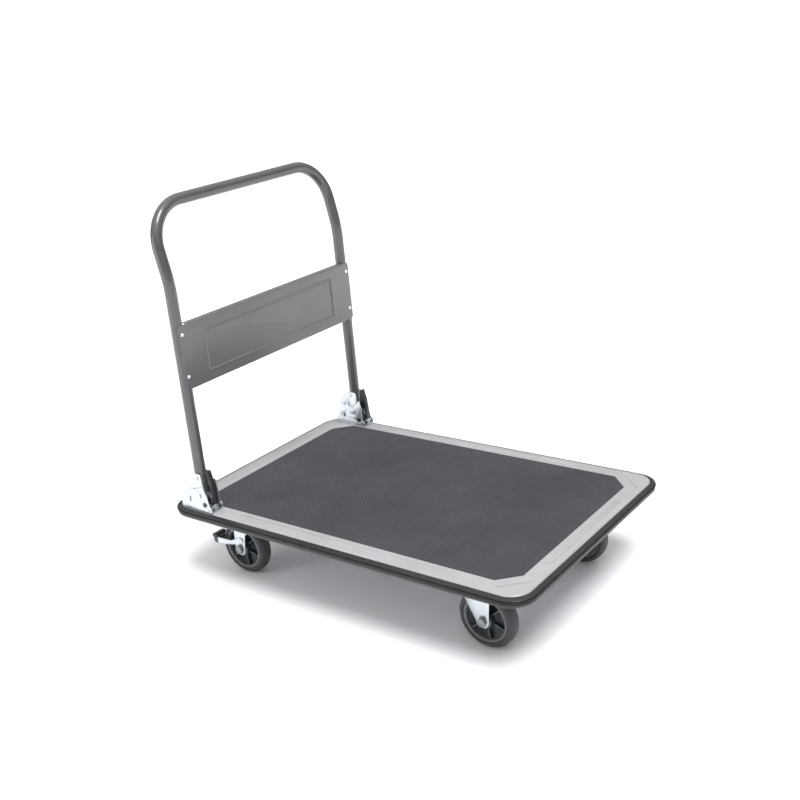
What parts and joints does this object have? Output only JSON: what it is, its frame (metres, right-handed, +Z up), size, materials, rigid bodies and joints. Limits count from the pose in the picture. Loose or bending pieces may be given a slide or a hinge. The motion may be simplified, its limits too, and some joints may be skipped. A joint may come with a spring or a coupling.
{
  "type": "folding platform cart",
  "caption": "Flat-deck platform cart with a fold-down tubular push handle, fixed and swivel casters and a rubber-edged steel deck",
  "frame": {"origin": "on the floor, under the middle of the platform", "axes": "+X from the handle end to the free end, +Y to the left seen from behind the handle, +Z up"},
  "size_m": [0.914, 0.6, 0.8612],
  "materials": {
    "deck_paint": "light grey satin enamel on pressed steel",
    "mat_rubber": "dark grey rubber mat with a fine raised pattern",
    "bumper_rubber": "black moulded bumper strip, satin",
    "underframe_paint": "light grey enamel",
    "handle_paint": "mid grey semi-gloss enamel",
    "tyre_rubber": "charcoal rubber tyre",
    "hub_plastic": "black moulded hub",
    "black_plastic": "black moulded sleeve",
    "nylon": "white nylon bush",
    "rivet_aluminium": "bright domed rivet",
    "bearing_steel": "ground steel",
    "fastener_zinc": "zinc-plated fastener",
    "zinc_plate": "bright zinc-plated pressed steel"
  },
  "bodies": {
    "root": {"deck_pan": "deck_paint", "deck_mat": "mat_rubber", "edge_bumper": "bumper_rubber", "cross_channels": "underframe_paint", "long_channels": "underframe_paint", "caster_bolts": "fastener_zinc", "caster_nuts": "fastener_zinc", "bracket_right": "zinc_plate", "bracket_left": "zinc_plate", "bracket_bolts": "fastener_zinc", "fold_pins": "fastener_zinc", "stop_pins": "fastener_zinc", "lever_pins": "fastener_zinc", "lever_springs": "bearing_steel", "fixed_fork_right": "zinc_plate", "fixed_fork_left": "zinc_plate", "fixed_axles": "fastener_zinc", "fixed_axle_nuts": "fastener_zinc", "swivel_plate_right": "zinc_plate", "swivel_plate_left": "zinc_plate", "kingpin_right": "fastener_zinc", "kingpin_left": "fastener_zinc"},
    "handle": {"handle_tube": "handle_paint", "handle_panel": "handle_paint", "panel_rivets": "rivet_aluminium", "foot_bushes": "nylon", "latch_catches": "handle_paint", "sector_right_outer": "zinc_plate", "sector_right_inner": "zinc_plate", "sector_left_outer": "zinc_plate", "sector_left_inner": "zinc_plate", "sector_rivets": "fastener_zinc"},
    "release_lever_right": {"lever_right": "zinc_plate", "lever_sleeve_right": "black_plastic"},
    "fixed_wheel_right": {"tyre_fixed_right": "tyre_rubber", "hub_fixed_right": "hub_plastic", "bearings_fixed_right": "bearing_steel"},
    "swivel_right": {"swivel_fork_right": "zinc_plate", "swivel_balls_right": "bearing_steel", "axle_swivel_right": "fastener_zinc", "axle_nut_right": "fastener_zinc"},
    "swivel_wheel_right": {"tyre_swivel_right": "tyre_rubber", "hub_swivel_right": "hub_plastic", "bearings_swivel_right": "bearing_steel"},
    "brake_right": {"brake_lever_right": "zinc_plate", "brake_pedal_right": "black_plastic"},
    "release_lever_left": {"lever_left": "zinc_plate", "lever_sleeve_left": "black_plastic"},
    "fixed_wheel_left": {"tyre_fixed_left": "tyre_rubber", "hub_fixed_left": "hub_plastic", "bearings_fixed_left": "bearing_steel"},
    "swivel_left": {"swivel_fork_left": "zinc_plate", "swivel_balls_left": "bearing_steel", "axle_swivel_left": "fastener_zinc", "axle_nut_left": "fastener_zinc"},
    "swivel_wheel_left": {"tyre_swivel_left": "tyre_rubber", "hub_swivel_left": "hub_plastic", "bearings_swivel_left": "bearing_steel"},
    "brake_left": {"brake_lever_left": "zinc_plate", "brake_pedal_left": "black_plastic"}
  },
  "joints": [
    {"name": "handle_fold", "type": "hinge", "parent": "root", "child": "handle", "pos_m": [-0.361, 0, 0.225], "axis": [0, 1, 0], "range_deg": [0, 90]},
    {"name": "release_lever_right", "type": "hinge", "parent": "root", "child": "release_lever_right", "pos_m": [-0.331, -0.2706, 0.197], "axis": [0, 1, 0], "range_deg": [0, 90]},
    {"name": "fixed_wheel_spin_right", "type": "hinge", "parent": "root", "child": "fixed_wheel_right", "pos_m": [0.31, -0.19, 0.0625], "axis": [0, 1, 0], "continuous": true},
    {"name": "caster_swivel_right", "type": "hinge", "parent": "root", "child": "swivel_right", "pos_m": [-0.3, -0.19, 0.145], "axis": [0, 0, 1], "continuous": true},
    {"name": "swivel_wheel_spin_right", "type": "hinge", "parent": "swivel_right", "child": "swivel_wheel_right", "pos_m": [-0.335, -0.19, 0.0625], "axis": [0, 1, 0], "continuous": true},
    {"name": "brake_right", "type": "hinge", "parent": "swivel_right", "child": "brake_right", "pos_m": [-0.329, -0.19, 0.0865], "axis": [0, -1, 0], "range_deg": [0, 10.5]},
    {"name": "release_lever_left", "type": "hinge", "parent": "root", "child": "release_lever_left", "pos_m": [-0.331, 0.2706, 0.197], "axis": [0, 1, 0], "range_deg": [0, 90]},
    {"name": "fixed_wheel_spin_left", "type": "hinge", "parent": "root", "child": "fixed_wheel_left", "pos_m": [0.31, 0.19, 0.0625], "axis": [0, 1, 0], "continuous": true},
    {"name": "caster_swivel_left", "type": "hinge", "parent": "root", "child": "swivel_left", "pos_m": [-0.3, 0.19, 0.145], "axis": [0, 0, 1], "continuous": true},
    {"name": "swivel_wheel_spin_left", "type": "hinge", "parent": "swivel_left", "child": "swivel_wheel_left", "pos_m": [-0.335, 0.19, 0.0625], "axis": [0, 1, 0], "continuous": true},
    {"name": "brake_left", "type": "hinge", "parent": "swivel_left", "child": "brake_left", "pos_m": [-0.329, 0.19, 0.0865], "axis": [0, -1, 0], "range_deg": [0, 10.5]}
  ],
  "couplings": [
    {"joint": "release_lever_right", "follows": "handle_fold", "ratio": 1},
    {"joint": "release_lever_left", "follows": "handle_fold", "ratio": 1}
  ]
}
